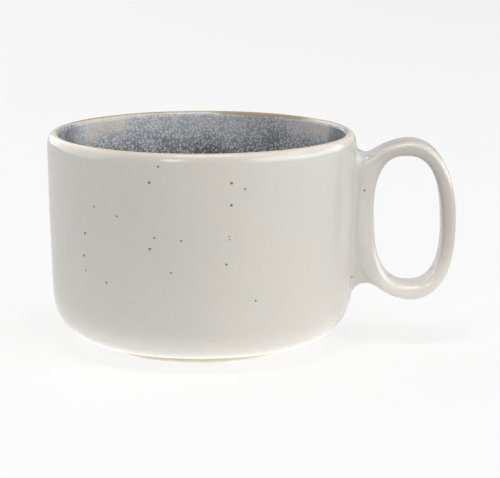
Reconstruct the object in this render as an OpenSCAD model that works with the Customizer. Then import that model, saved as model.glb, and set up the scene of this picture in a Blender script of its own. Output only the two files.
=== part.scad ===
// Stoneware soup mug: a wide low cup with one closed-loop handle.
// The origin is on the cup's axis at the table, +Z is up and the handle points along +X.

/* [Cup outside] */
// Widest outside diameter, over the glaze
cup_d = 120; // [112:1:128]
// Height from the table to the top of the rim
cup_h = 84.4; // [80:0.2:88]
// How far the wall leans in from its widest place down to the turn
wall_lean = 1.6; // [0.8:0.1:2.6]
// Height at which the wall turns in towards the foot
turn_h = 23.7; // [21:0.1:26]
// Height above the table at which the turn has become level
turn_end_h = 3; // [2.4:0.1:3.6]
// Fullness of the turn, where 2 is an ellipse
turn_power = 2.16; // [2:0.02:2.6]

/* [Rim] */
// Distance from the widest outside in to the top line of the rim
crest_inset = 2.6; // [2.3:0.1:3]
// Radius of the rounding over the rim
lip_r = 1.9; // [1.5:0.1:2.2]
// Slope from upright where the rounding runs out into the outer wall
lip_angle = 30; // [20:1:40]
// Part of the outer lip that the brown band covers, counted from its top
band_out_share = 0.5; // [0.2:0.1:0.9]
// Depth of the brown band on the inside, below the rounding
band_in_h = 1.6; // [0.8:0.2:3]

/* [Cup inside] */
// Thickness of the wall at the turn, glazes included
turn_wall_t = 4.9; // [4.4:0.1:6]
// Height at which the inner wall turns in to the floor
in_turn_h = 27; // [25:0.5:30]
// Height of the floor inside
floor_h = 6.8; // [6:0.2:8]
// Radius of the level part of the floor
floor_r = 27; // [22:1:32]
// Thickness of every glaze layer
glaze_t = 0.4; // [0.3:0.05:0.6]

/* [Foot] */
// Outside diameter of the foot ring
foot_d = 70.6; // [64:0.2:76]
// Width of the bare ledge between the foot ring and the glaze
foot_ledge = 1.3; // [0.8:0.1:3]
// Width of the foot ring's flat that stands on the table
foot_w = 4.6; // [3.6:0.2:6]
// Rounding of the foot ring's two edges
foot_edge = 0.5; // [0.3:0.1:0.7]
// Height of the hollow inside the foot ring
foot_hollow = 2; // [1.4:0.1:2.4]

/* [Handle] */
// Distance from the widest outside of the cup to the middle of the finger hole
hole_off = 19.9; // [19:0.1:21]
// Distance from the top of the rim down to the top of the finger hole
hole_drop = 8.9; // [7.4:0.1:12]
// Height of the bottom of the finger hole above the table
hole_lift = 24.9; // [24:0.1:30]
// Width of the finger hole
hole_w = 26.2; // [24:0.2:27]
// Thickness of the strap at its top and bottom
strap_t = 6; // [5:0.1:7]
// Thickness of the strap at its outer side
side_t = 5.6; // [4.6:0.1:7]
// Reach of the upper arm's outline towards the cup's axis
upper_in = 28.5; // [26:0.5:34]
// Reach of the lower arm's outline towards the cup's axis
lower_in = 23.5; // [22:0.5:30]
// How far the hole leans towards the cup over its height
hole_lean = 1.5; // [0:0.1:2]
// Distance from the top of the rim down to the upper arm's root on the wall
root_drop = 9.2; // [7.8:0.1:12]
// Height of the lower arm's root on the wall above the table
root_lift = 26.2; // [25:0.1:31]
// Radius of the hollow where each arm runs into the wall
root_fillet = 3.6; // [2.4:0.2:5]
// Width of the strap from side to side
strap_w = 17; // [14:0.5:19]
// Rounding of the strap's long edges
strap_edge = 2.4; // [1.2:0.1:2.6]
// Thickness of the slip that holds the handle to the wall
slip_t = 0.6; // [0.5:0.1:1]

/* [Hidden] */
cup_r = cup_d / 2;
crest_r = cup_r - crest_inset;
foot_r = foot_d / 2;
turn_end_r = foot_r + foot_ledge;
slip_r = cup_r - glaze_t + slip_t;
hole_x = cup_r + hole_off;
hole_h = cup_h - hole_drop - hole_lift;
hole_z = hole_lift + hole_h / 2;
reach_out = hole_w / 2 + side_t;
reach_up = hole_h / 2 + strap_t;
root_up = cup_h - root_drop - hole_z;
root_down = hole_z - root_lift;
turn_r = cup_r - wall_lean;
in_turn_r = turn_r - turn_wall_t;
hole_power = 2.5;
upper_power = 2.25;
lower_power = 2.45;
arm_power = 1.4;
arm_rise_power = 2.5;
lean_power = 1.25;
root_share = 0.55;
root_deepest = 1.5;
arc_steps = 8;
wall_steps = 8;
turn_steps = 20;
ring_steps = 60;
edge_steps = 3;
section_points = 4 * (edge_steps + 1);
below = foot_edge;
$fn = 180;

// Where the rim's rounding runs out, and where the outer wall starts
lip_low_h = cup_h - lip_r;
lip_end_h = lip_low_h + lip_r * sin(lip_angle);
lip_end_r = crest_r + lip_r * cos(lip_angle);
wall_top_h = lip_end_h - 2 * (cup_r - lip_end_r) / tan(lip_angle);

// Helpers
function backwards(pts) = [for (i = [len(pts) - 1:-1:0]) pts[i]];
function signed_power(v, p) = sign(v) * pow(abs(v), 2 / p);

// Outside of the cup, at a depth t under the surface
function crest_out(t) = [for (i = [0:arc_steps])
    let (a = 90 - (90 - lip_angle) * i / arc_steps, q = lip_r - t)
    [crest_r + q * cos(a), lip_low_h + q * sin(a)]];
function lip_point(t, s) =
    let (q = lip_r - t, r0 = crest_r + q * cos(lip_angle), z0 = lip_low_h + q * sin(lip_angle))
    [cup_r - t - (cup_r - t - r0) * pow(1 - s, 2), z0 + (wall_top_h - z0) * s];
function lip_out(t, s0, s1) = [for (i = [1:arc_steps]) lip_point(t, s0 + (s1 - s0) * i / arc_steps)];
function wall_out(t) = [for (i = [1:wall_steps])
    [cup_r - t - wall_lean * pow(i / wall_steps, lean_power),
     wall_top_h + (turn_h - wall_top_h) * i / wall_steps]];
function turn_out(t) = [for (i = [1:turn_steps])
    let (a = 90 * i / turn_steps)
    [turn_end_r + (turn_r - t - turn_end_r) * signed_power(cos(a), turn_power),
     turn_h - (turn_h - turn_end_h - t) * signed_power(sin(a), turn_power)]];
function band_out(t) = concat(crest_out(t), lip_out(t, 0, band_out_share));
function coat_out(t) = concat([lip_point(t, band_out_share)], lip_out(t, band_out_share, 1),
    wall_out(t), turn_out(t));

// Inside of the cup, at a depth t under the surface
function crest_in(t) = [for (i = [0:arc_steps])
    let (a = 90 + 90 * i / arc_steps, q = lip_r - t)
    [crest_r + q * cos(a), lip_low_h + q * sin(a)]];
function in_wall_r(z) = crest_r - lip_r
    + (in_turn_r - crest_r + lip_r) * pow((lip_low_h - z) / (lip_low_h - in_turn_h), lean_power);
function band_in(t) = concat(crest_in(t), [[in_wall_r(lip_low_h - band_in_h) + t, lip_low_h - band_in_h]]);
function coat_in(t) = concat(
    [for (i = [0:wall_steps])
        let (z = lip_low_h - band_in_h + (in_turn_h - lip_low_h + band_in_h) * i / wall_steps)
        [in_wall_r(z) + t, z]],
    [for (i = [1:turn_steps])
        let (a = 90 * i / turn_steps)
        [floor_r + (in_turn_r + t - floor_r) * signed_power(cos(a), turn_power),
         in_turn_h - (in_turn_h - floor_h + t) * signed_power(sin(a), turn_power)]]);

// Foot ring, from the outer edge in to the hollow
foot_pts = [[turn_end_r, turn_end_h + glaze_t], [foot_r, turn_end_h], [foot_r, foot_edge],
    [foot_r - foot_edge, 0], [foot_r - foot_edge - foot_w, 0],
    [foot_r - 2 * foot_edge - foot_w, foot_edge],
    [foot_r - 2 * foot_edge - foot_w, foot_hollow - foot_edge],
    [foot_r - 3 * foot_edge - foot_w, foot_hollow], [0, foot_hollow]];

// The cup filled solid, at a depth t under the surface of the glaze
module filled_cup(t) {
    rotate_extrude()
        polygon(concat([[0, lip_low_h]], band_out(t), coat_out(t),
            [[turn_end_r, -below], [0, -below]]));
}

// One point of the handle's outline: hole edge or outer edge, drawn in by t
function hole_edge(a, t) =
    let (rise = signed_power(sin(a), hole_power))
    [hole_x + (hole_w / 2 + t) * signed_power(cos(a), hole_power) - hole_lean / 2 * rise,
     hole_z + (hole_h / 2 + t) * rise];
function outer_right(a, t) =
    let (p = sin(a) >= 0 ? upper_power : lower_power)
    [hole_x + (reach_out - t) * signed_power(cos(a), p), hole_z + (reach_up - t) * signed_power(sin(a), p)];
function root_half(x, up) =
    let (near = min(root_deepest, max(0, (cup_r + root_fillet - x) / root_fillet)))
    (up ? root_up : root_down) + root_fillet * root_share * pow(near, 2);
function outer_left(a, t) =
    let (up = sin(a) >= 0, side = up ? 1 : -1,
         x = hole_x + ((up ? upper_in : lower_in) - t) * signed_power(cos(a), arm_power),
         arm = (reach_up - t) * abs(signed_power(sin(a), arm_rise_power)))
    [x, hole_z + side * max(arm, root_half(x, up) - t)];
function outer_edge(a, t) = cos(a) >= 0 ? outer_right(a, t) : outer_left(a, t);

// One section of the strap: a rounded rectangle from the hole's edge to the outer edge
function section(a, t) =
    let (p = hole_edge(a, t), q = outer_edge(a, t), reach = norm(q - p), dir = (q - p) / reach,
         e = strap_edge - t, half = strap_w / 2 - t - e)
    [for (k = [0:3], i = [0:edge_steps])
        let (b = 90 * (k + i / edge_steps),
             v = (k < 2 ? reach - e : e) + e * sin(b),
             y = (k == 0 || k == 3 ? half : -half) + e * cos(b))
        [p[0] + dir[0] * v, y, p[1] + dir[1] * v]];

// The closed loop of the handle, drawn in by t and still running into the wall
module loop(t) {
    pts = [for (j = [0:ring_steps - 1]) each section(360 * j / ring_steps, t)];
    faces = [for (j = [0:ring_steps - 1], i = [0:section_points - 1])
        let (j2 = (j + 1) % ring_steps, i2 = (i + 1) % section_points,
             a = j * section_points + i, b = j * section_points + i2,
             c = j2 * section_points + i2, d = j2 * section_points + i)
        each [[a, b, c], [a, c, d]]];
    polyhedron(points = pts, faces = faces, convexity = 4);
}

// Upright block with the outline of the handle's root, which crosses the wall
module root_block() {
    e = strap_edge - glaze_t;
    half = strap_w / 2 - glaze_t - e;
    top = root_half(slip_r, true) - glaze_t - e;
    bottom = root_half(slip_r, false) - glaze_t - e;
    rotate([90, 0, 90])
        linear_extrude(height = cup_r + slip_t)
            polygon([for (k = [0:3], i = [0:edge_steps])
                let (b = 90 * (k + i / edge_steps))
                [(k == 0 || k == 3 ? half : -half) + e * cos(b),
                 hole_z + (k < 2 ? top : -bottom) + e * sin(b)]]);
}

// Fired clay of the cup with its foot ring
module cup_body() {
    color("wheat")
        rotate_extrude()
            polygon(concat(band_out(glaze_t), coat_out(glaze_t), foot_pts,
                [[0, floor_h - glaze_t]], backwards(coat_in(glaze_t)), backwards(crest_in(glaze_t))));
}

// Fired clay of the handle, which stops at the slip
module handle() {
    color("tan")
        difference() {
            loop(glaze_t);
            filled_cup(glaze_t - slip_t);
        }
}

// Slip between the wall and the handle's pad
module joint_slip() {
    color("peru")
        difference() {
            intersection() {
                root_block();
                filled_cup(glaze_t - slip_t);
            }
            filled_cup(glaze_t);
        }
}

// Pale speckled coat on the outside of the cup, open under the handle
module outer_glaze() {
    color("gainsboro")
        difference() {
            rotate_extrude()
                polygon(concat(coat_out(0), backwards(coat_out(glaze_t))));
            root_block();
        }
}

// The same coat on the handle
module handle_glaze() {
    color("whitesmoke")
        difference() {
            loop(0);
            loop(glaze_t);
            filled_cup(0);
        }
}

// Blue-grey coat on the inside
module liner_glaze() {
    color("slategray")
        rotate_extrude()
            polygon(concat(coat_in(0), [[0, floor_h], [0, floor_h - glaze_t]],
                backwards(coat_in(glaze_t))));
}

// Brown band over the rim, where the two coats run thin
module rim_band() {
    color("rosybrown")
        rotate_extrude()
            polygon(concat(backwards(band_in(0)), band_out(0),
                backwards(band_out(glaze_t)), band_in(glaze_t)));
}

cup_body();
handle();
joint_slip();
outer_glaze();
handle_glaze();
liner_glaze();
rim_band();
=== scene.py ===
# %% [markdown]
# # A stoneware soup mug
# The mug is a wide low cup with one closed-loop handle. The cup was shaped on a wheel, the handle
# was made apart and fixed on with slip, and both were dipped in a pale speckled glaze after the
# inside had been filled and emptied with a blue-grey one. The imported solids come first, as a fixed
# frame in metres, and every piece below is fitted to them.

# %% Load the fixed frame
import math
import bpy
import numpy as np
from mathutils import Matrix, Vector


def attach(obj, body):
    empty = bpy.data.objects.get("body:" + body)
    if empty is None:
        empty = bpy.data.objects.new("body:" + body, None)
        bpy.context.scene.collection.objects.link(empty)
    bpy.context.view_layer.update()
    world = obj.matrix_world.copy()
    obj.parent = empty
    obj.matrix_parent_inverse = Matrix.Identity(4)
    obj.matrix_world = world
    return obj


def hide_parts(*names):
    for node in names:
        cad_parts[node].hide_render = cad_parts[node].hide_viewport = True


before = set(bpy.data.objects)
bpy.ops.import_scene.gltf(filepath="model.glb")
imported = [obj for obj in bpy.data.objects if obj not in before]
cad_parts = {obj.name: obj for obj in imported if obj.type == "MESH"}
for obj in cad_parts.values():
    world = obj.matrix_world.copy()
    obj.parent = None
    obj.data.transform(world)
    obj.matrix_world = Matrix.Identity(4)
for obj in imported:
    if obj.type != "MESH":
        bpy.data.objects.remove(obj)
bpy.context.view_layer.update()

# %% [markdown]
# ## Camera
# A product photograph of a mug is taken with a long lens from a little above. A camera could be
# turned by eye until it matches, but the far and near curves of the rim give its numbers: 10.6
# degrees down, and a focal length in pixels that is turned into millimetres here.

# %% Place the camera
MM = 0.001
IMAGE_W, IMAGE_H = 500, 478
CAMERA_DOWN = math.radians(10.58)
CAMERA_DISTANCE = 1050 * MM
CAMERA_X = 18.63 * MM
CAMERA_TARGET_Z = 42 * MM
FOCAL_PX = 2685.43
CENTRE_PX = 238.566
cam_data = bpy.data.cameras.new("camera")
cam_data.sensor_width = 36
cam_data.lens = FOCAL_PX / IMAGE_W * cam_data.sensor_width
cam_data.shift_y = (CENTRE_PX - IMAGE_H / 2) / IMAGE_W
cam_data.clip_start = 0.05
camera = bpy.data.objects.new("camera", cam_data)
bpy.context.collection.objects.link(camera)
camera.location = (CAMERA_X, -CAMERA_DISTANCE * math.cos(CAMERA_DOWN),
                   CAMERA_TARGET_Z + CAMERA_DISTANCE * math.sin(CAMERA_DOWN))
camera.rotation_euler = (math.pi / 2 - CAMERA_DOWN, 0, 0)
bpy.context.scene.camera = camera
print("lens in mm:", round(cam_data.lens, 1))

# %% [markdown]
# ## Outline of the cup
# A wheel-made cup is one outline turned about its axis, from the foot up the outside, over the rim
# and down to the middle of the floor. It could be drawn by hand, but rules can be measured against
# the photograph: a superellipse for the turned-in bottom, a slow curve for the wall, a circle for
# the lip.

# %% Sizes of the cup, in millimetres
CUP_R, CUP_H = 60.0, 84.4
WALL_LEAN, LEAN_POWER = 1.6, 1.25
TURN_H, TURN_END_R, TURN_END_H, TURN_POWER = 23.7, 36.6, 3.0, 2.16
CREST_R, LIP_R, LIP_ANGLE = 57.4, 1.9, math.radians(30)
LIP_LOW = CUP_H - LIP_R
LIP_END = (CREST_R + LIP_R * math.cos(LIP_ANGLE), LIP_LOW + LIP_R * math.sin(LIP_ANGLE))
WALL_TOP = LIP_END[1] - 2 * (CUP_R - LIP_END[0]) / math.tan(LIP_ANGLE)
IN_TURN_R, IN_TURN_H, FLOOR_H, FLOOR_R = 53.5, 27.0, 6.8, 27.0
COAT = 0.36
BAND_SHARE, BAND_IN = 0.5, 1.6
GLAZE_END_R, GLAZE_END_H = 35.7, 0.95
join = np.concatenate


def superpower(v, p):
    """A cosine or sine bent towards a superellipse of that power."""
    return np.sign(v) * np.abs(v) ** (2 / p)


def arc(centre, radius, a):
    return np.stack([centre[0] + radius * np.cos(a), centre[1] + radius * np.sin(a)], 1)


def turned_in(wall, level, a):
    """Quarter of a superellipse between an upright end at the wall and a level end, both (r, z)."""
    return np.stack([level[0] + (wall[0] - level[0]) * superpower(np.cos(a), TURN_POWER),
                     wall[1] - (wall[1] - level[1]) * superpower(np.sin(a), TURN_POWER)], 1)


def outside_outline():
    """Dense (r, z) points from the glaze's lower end on the foot up to the top of the rim."""
    hollow_r = TURN_END_R - GLAZE_END_R
    hollow = arc((TURN_END_R, TURN_END_H - hollow_r), hollow_r, np.linspace(math.pi, math.pi / 2, 14)[:-1])
    toe = join([[[GLAZE_END_R - 0.13, GLAZE_END_H], [GLAZE_END_R - 0.04, GLAZE_END_H + 0.12],
                 [GLAZE_END_R, GLAZE_END_H + 0.3]], hollow])
    turn = turned_in((CUP_R - WALL_LEAN, TURN_H), (TURN_END_R, TURN_END_H), np.linspace(math.pi / 2, 0, 200))
    v = np.linspace(1, 0, 120)[1:]
    wall = np.stack([CUP_R - WALL_LEAN * v ** LEAN_POWER, WALL_TOP + (TURN_H - WALL_TOP) * v], 1)
    s = np.linspace(1, 0, 40)[1:]
    lip = np.stack([CUP_R - (CUP_R - LIP_END[0]) * (1 - s) ** 2,
                    LIP_END[1] + (WALL_TOP - LIP_END[1]) * s], 1)
    crest = arc((CREST_R, LIP_LOW), LIP_R, np.linspace(LIP_ANGLE, math.pi / 2, 40)[1:])
    return join([toe, turn, wall, lip, crest])


def inside_outline():
    """Dense (r, z) points from the top of the rim down to the middle of the floor."""
    crest = arc((CREST_R, LIP_LOW), LIP_R, np.linspace(math.pi / 2, math.pi, 60))
    v = np.linspace(0, 1, 120)[1:]
    wall = np.stack([CREST_R - LIP_R + (IN_TURN_R - CREST_R + LIP_R) * v ** LEAN_POWER,
                     LIP_LOW + (IN_TURN_H - LIP_LOW) * v], 1)
    turn = turned_in((IN_TURN_R, IN_TURN_H), (FLOOR_R, FLOOR_H), np.linspace(0, math.pi / 2, 160)[1:])
    floor = np.stack([np.linspace(FLOOR_R, 0, 60)[1:], np.full(59, FLOOR_H)], 1)
    return join([crest, wall, turn, floor])


def run_of(points):
    """The length of the line up to each of its points."""
    return join([[0], np.cumsum(np.hypot(*np.diff(points, axis=0).T))])


def walk(points, step):
    """Points at even steps along an outline, with both ends kept."""
    length = run_of(points)
    at = np.linspace(0, length[-1], max(2, round(length[-1] / step)) + 1)
    return np.stack([np.interp(at, length, points[:, i]) for i in (0, 1)], 1)


outside, inside = outside_outline(), inside_outline()
print("outline points:", len(outside), len(inside), "wall top at", round(WALL_TOP, 2))

# %% [markdown]
# ## Outline of the handle
# The strap is a closed loop. Its side towards the fingers is one superellipse that leans a little,
# and its outer side is rounder at the right and runs in two nearly straight arms to the wall. A
# curve with a bevel would keep one section all the way. So both sides are rules of one angle, and
# each section of the strap joins equal angles.

# %% Sizes of the handle, in millimetres
HOLE_X, HOLE_Z, HOLE_W, HOLE_H, HOLE_POWER, HOLE_LEAN = 79.9, 50.2, 26.2, 50.6, 2.5, 1.5
STRAP_T, SIDE_T, STRAP_HALF = 6.0, 5.6, 8.5
REACH_OUT, REACH_UP = HOLE_W / 2 + SIDE_T, HOLE_H / 2 + STRAP_T
UPPER_IN, LOWER_IN, ARM_POWER, ARM_RISE = 28.5, 23.5, 1.4, 2.5
UPPER_POWER, LOWER_POWER = 2.25, 2.45
OUTER_EDGE, INNER_EDGE = 2.1, 2.2


def hole_point(a):
    rise = superpower(np.sin(a), HOLE_POWER)
    return np.stack([HOLE_X + HOLE_W / 2 * superpower(np.cos(a), HOLE_POWER) - HOLE_LEAN / 2 * rise,
                     HOLE_Z + HOLE_H / 2 * rise], -1)


def outer_point(a):
    c, s = np.cos(a), np.sin(a)
    p = np.where(s >= 0, UPPER_POWER, LOWER_POWER)
    right = np.stack([HOLE_X + REACH_OUT * superpower(c, p), HOLE_Z + REACH_UP * superpower(s, p)], -1)
    reach = np.where(s >= 0, UPPER_IN, LOWER_IN)
    left = np.stack([HOLE_X + reach * superpower(c, ARM_POWER),
                     HOLE_Z + REACH_UP * superpower(s, ARM_RISE)], -1)
    return np.where((c >= 0)[..., None], right, left)


print("outermost point of the handle:", outer_point(np.array([0.0]))[0])

# %% [markdown]
# ## One skin over the cup and the handle
# The wet glaze runs over cup, joint and handle as one skin. Blender could join two meshes with a
# boolean, but that leaves ragged triangles just where the light shows the joint. So the skin is laid
# out as rows of quads: rings round the cup with a window left open in front of the handle,
# closed sections round the free strap, open strips down the part that lies on the wall, and a
# hollow fillet that leads from the strap's edge to the wall and on to the window's frame.

# %% Rows and columns of the skin
COLUMNS = 320
WINDOW = 13
SIDE_STEPS, END_STEPS = 52, 2 * WINDOW
FACE_STEPS, INNER_STEPS = 6, 22
FREE_STATIONS = 112
FILLET_STEPS, APRON_STEPS = 7, 6
BAND_OUT_Z = LIP_END[1] + (WALL_TOP - LIP_END[1]) * BAND_SHARE
WINDOW_LOW = 15.5


def grid_quads(ids, flip=False):
    """Quads over a grid of point numbers."""
    a, b, c, d = ids[:-1, :-1], ids[:-1, 1:], ids[1:, 1:], ids[1:, :-1]
    return np.stack([a, b, c, d] if not flip else [a, d, c, b], -1).reshape(-1, 4)


def closed(ids):
    """A grid of point numbers with its first column again at the end."""
    return join([ids, ids[:, :1]], 1)


class Skin:
    """Points and faces that grow piece by piece; each face carries the name of its region."""

    def __init__(self):
        self.points, self.faces, self.regions, self.count = [], [], [], 0

    def add(self, points):
        points = np.asarray(points, float).reshape(-1, 3)
        self.points.append(points)
        self.count += len(points)
        return np.arange(self.count - len(points), self.count)

    def sheet(self, ids, region, flip=False):
        self.quads(grid_quads(ids, flip), region)

    def quads(self, quads, region):
        self.faces.append(quads)
        self.regions += [region] * len(quads)

    def all_points(self):
        return join(self.points)


def polar(r, turn, z):
    return np.stack([r * np.cos(turn), r * np.sin(turn), z + 0 * turn], -1)


def around(rows):
    """The (r, z) rows of an outline turned into rings of points."""
    return polar(rows[:, :1], np.arange(COLUMNS) * 2 * math.pi / COLUMNS, rows[:, 1:])


def wall_radius(z):
    return np.interp(z, outside[:, 1], outside[:, 0])


def wall_point(y, z):
    return np.stack([np.sqrt(wall_radius(z) ** 2 - y ** 2), y, z], -1)


def beside_wall(z):
    """x of the pad's side edge at a height, where it stands off the wall."""
    return np.sqrt(wall_radius(z) ** 2 - STRAP_HALF ** 2) + SIDE_GAP


# %% Rings round the cup, from the foot up, over the rim and down to the floor
FINE_LOW, TOE_STEP, LOW_STEP, BAND_STEP, LINING_STEP = 3.3, 0.22, 0.9, 0.28, 1.1
low_wall = (outside[:, 1] > FINE_LOW) & (outside[:, 1] <= WINDOW_LOW)
lower = join([walk(outside[outside[:, 1] <= FINE_LOW], TOE_STEP), walk(outside[low_wall], LOW_STEP)])
window_z = np.linspace(lower[-1, 1], BAND_OUT_Z, SIDE_STEPS + 1)[1:]
middle = np.stack([wall_radius(window_z), window_z], 1)
band_out = walk(join([middle[-1:], outside[outside[:, 1] > BAND_OUT_Z]]), BAND_STEP)
band_cut = int(np.argmin(np.abs(inside[:, 1] - (LIP_LOW - BAND_IN)) + (inside[:, 0] > CREST_R)))
band_in = walk(inside[:band_cut + 1], BAND_STEP)
rows = join([lower, middle, band_out[1:], band_in[1:], walk(inside[band_cut:], LINING_STEP)[1:-1]])
ROW_COAT = len(lower) + len(middle) - 1
ROW_BAND = ROW_COAT + len(band_out) + len(band_in) - 2
skin = Skin()
ring = closed(skin.add(around(rows)).reshape(len(rows), COLUMNS))
row_low, row_high = len(lower) - 1, ROW_COAT
skin.sheet(ring[:row_low + 1], "coat")
skin.sheet(ring[row_low:row_high + 1, WINDOW:COLUMNS - WINDOW + 1], "coat")
skin.sheet(ring[ROW_COAT:ROW_BAND + 1], "band")
skin.sheet(ring[ROW_BAND:], "lining")
middle_of_floor = np.repeat(skin.add([[0, 0, FLOOR_H]]), COLUMNS)
fan = np.stack([ring[-1, :-1], ring[-1, 1:], middle_of_floor, middle_of_floor], -1)
print("rings:", len(rows), "with", COLUMNS, "points each")

# %% The strap's two edges as smooth curves, from the upper root over the top to the lower root
EDGE_STEP, SWEEP_DEGREES, SWEEP_POINTS, LEFT_POINTS = 0.2, 158, 6000, 3000
EASE, EASE_STEPS = 1.2, 18
sweep = np.radians(np.linspace(SWEEP_DEGREES, -SWEEP_DEGREES, SWEEP_POINTS))
outer_raw = outer_point(sweep)
run = run_of(outer_raw)
even = np.arange(0, run[-1], EDGE_STEP)
sweep_even = np.interp(even, run, sweep)
kernel = np.exp(-0.5 * (np.arange(-EASE_STEPS, EASE_STEPS + 1) * EDGE_STEP / EASE) ** 2)
kernel /= kernel.sum()


def smoothed(curve):
    """The curve with its sudden bends eased over a few millimetres."""
    pad = len(kernel) // 2
    ends = join([2 * curve[:1] - curve[pad:0:-1], curve, 2 * curve[-1:] - curve[-2:-pad - 2:-1]])
    return np.stack([np.convolve(ends[:, i], kernel, "valid") for i in (0, 1)], 1)


def outward(curve, centre):
    """Unit normals in the plane of the handle, pointing away from the centre."""
    along = np.gradient(curve, axis=0)
    normal = np.stack([-along[:, 1], along[:, 0]], 1)
    normal /= np.linalg.norm(normal, axis=1)[:, None]
    return normal * np.sign(np.sum(normal * (curve - centre), axis=1))[:, None]


centre_of_hole = np.array([HOLE_X, HOLE_Z])
outer_curve = smoothed(outer_raw[np.searchsorted(-sweep, -sweep_even).clip(0, len(sweep) - 1)])
ARM_SWELL, SWELL_X, SWELL_RUN, ROOT_X, ROOT_BEND = 0.42, 78, 5, 68.3, 0.1
swell = np.clip((SWELL_X - outer_curve[:, 0]) / SWELL_RUN, 0, 1)
swell = swell * swell * (3 - 2 * swell)
droop = ROOT_BEND * np.clip(ROOT_X - outer_curve[:, 0], 0, 3) ** 2
below = outer_curve[:, 1] < HOLE_Z
outer_curve[:, 1] += np.where(below, -ARM_SWELL * swell - droop, 0.5 * ARM_SWELL * swell)
outer_normal = outward(outer_curve, centre_of_hole)
hole_curve = hole_point(sweep_even)
hole_normal = -outward(hole_curve, centre_of_hole)
ROOT_TOP_X, ROOT_LOW_X, SIDE_GAP = 65.5, 66.0, 1.8
half = len(even) // 2


def upper_arm(x):
    """The place on the outer curve where the upper arm is at x."""
    return int(np.argmin(np.abs(outer_curve[:half, 0] - x)))


def lower_arm(x):
    return half + int(np.argmin(np.abs(outer_curve[half:, 0] - x)))


root_top, root_low = upper_arm(ROOT_TOP_X), lower_arm(ROOT_LOW_X)
print("strap runs from", outer_curve[root_top].round(2), "to", outer_curve[root_low].round(2))

# %% Points round one section of the strap
ARC_STEPS, CROWN = 6, 0.25
FLAT_OUT, FLAT_IN = END_STEPS - 2 * ARC_STEPS, INNER_STEPS - 2 * ARC_STEPS
quarter = np.linspace(0, math.pi / 2, ARC_STEPS + 1)


def side_shape(edge, flat_steps):
    """Across the strap from back to front: y, depth under the surface, and share of the corner."""
    low, flat = STRAP_HALF - edge, np.zeros(flat_steps - 1)
    y = join([low + edge * np.cos(quarter), np.linspace(low, -low, flat_steps + 1)[1:-1],
              -low - edge * np.cos(quarter[::-1])])
    dip, corner = edge * (1 - np.sin(quarter)), np.cos(quarter) ** 2
    depth = join([dip, flat, dip[::-1]]) + CROWN * (y / STRAP_HALF) ** 2
    return y, depth, join([corner, flat, corner[::-1]])


out_y, out_depth, out_corner = side_shape(OUTER_EDGE, FLAT_OUT)
in_y, in_depth, _ = side_shape(INNER_EDGE, FLAT_IN)


def curve_at(curve, place):
    i = np.arange(len(curve))
    return np.stack([np.interp(place, i, curve[:, k]) for k in (0, 1)], -1)


def outer_side(place, skew):
    """The outer side of a section, its corners slid along the strap by skew steps of the curve."""
    at = place + skew * out_corner
    p = curve_at(outer_curve, at) - out_depth[:, None] * curve_at(outer_normal, at)
    return np.stack([p[:, 0], out_y, p[:, 1]], 1)


def inner_side(point, normal):
    p = point - in_depth[:, None] * normal
    return np.stack([p[:, 0], in_y, p[:, 1]], 1)[::-1]


def between(p, q):
    """The points that divide a side face of the strap."""
    return p + (q - p) * np.linspace(0, 1, FACE_STEPS + 1)[1:-1, None]


# %% Closed sections of the free strap
SKEW_TOP_Z, SKEW_LOW_Z, SKEW_FADE = 72.0, 29.0, 9
run = run_of((outer_curve + hole_curve) / 2)
stations = np.interp(np.linspace(run[root_top], run[root_low], FREE_STATIONS + 1), run, np.arange(len(run)))
skew_top = upper_arm(beside_wall(SKEW_TOP_Z)) - root_top
skew_low = lower_arm(beside_wall(SKEW_LOW_Z)) - root_low
sections = []
for j, place in enumerate(stations):
    top, low = max(0, 1 - j / SKEW_FADE), max(0, 1 - (FREE_STATIONS - j) / SKEW_FADE)
    outer = outer_side(place, skew_top * top ** 2 + skew_low * low ** 2)
    inner = inner_side(curve_at(hole_curve, place), curve_at(hole_normal, place))
    sections.append(join([outer, between(outer[-1], inner[0]), inner, between(inner[-1], outer[0])]))
strap = closed(skin.add(sections).reshape(FREE_STATIONS + 1, -1))
skin.sheet(strap, "coat")
FRONT, BACK = END_STEPS, len(sections[0])
print("strap:", len(sections), "sections of", BACK, "points")

# %% Open strips down the pad that lies on the wall
front_top, front_low = sections[0][FRONT], sections[-1][FRONT]
pad_z = np.linspace(front_top[2], front_low[2], SIDE_STEPS + 1)
ease = np.linspace(0, 1, SIDE_STEPS + 1)
EASE_POWER, PAD_TAPER = 8, 1.3
pad_x = beside_wall(pad_z)
pad_x += ((front_top[0] - pad_x[0]) * (1 - ease) ** EASE_POWER
          + (front_low[0] - pad_x[-1]) * ease ** EASE_POWER)
left_sweep = np.radians(np.linspace(math.degrees(sweep_even[root_top]),
                                    360 + math.degrees(sweep_even[root_low]), LEFT_POINTS))
left_hole = hole_point(left_sweep)
run = run_of(left_hole)
left_at = np.interp(np.linspace(0, run[-1], SIDE_STEPS + 1), run, np.arange(LEFT_POINTS))
left_normal = -outward(left_hole, centre_of_hole)
strips = []
for i in range(1, SIDE_STEPS):
    inner = inner_side(curve_at(left_hole, left_at[i]), curve_at(left_normal, left_at[i]))
    inner[:, 1] *= 1 - PAD_TAPER / STRAP_HALF * math.sin(math.pi * i / SIDE_STEPS) ** 2
    near = np.array([pad_x[i], -STRAP_HALF, pad_z[i]])
    far = near * [1, -1, 1]
    strips.append(join([[near], between(near, inner[0]), inner, between(inner[-1], far), [far]]))
new = skin.add(strips).reshape(SIDE_STEPS - 1, -1)
pad = join([strap[:1, FRONT:BACK + 1], new, strap[-1:, FRONT:BACK + 1]])
skin.sheet(pad, "coat", flip=True)
print("pad:", pad.shape)

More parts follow.
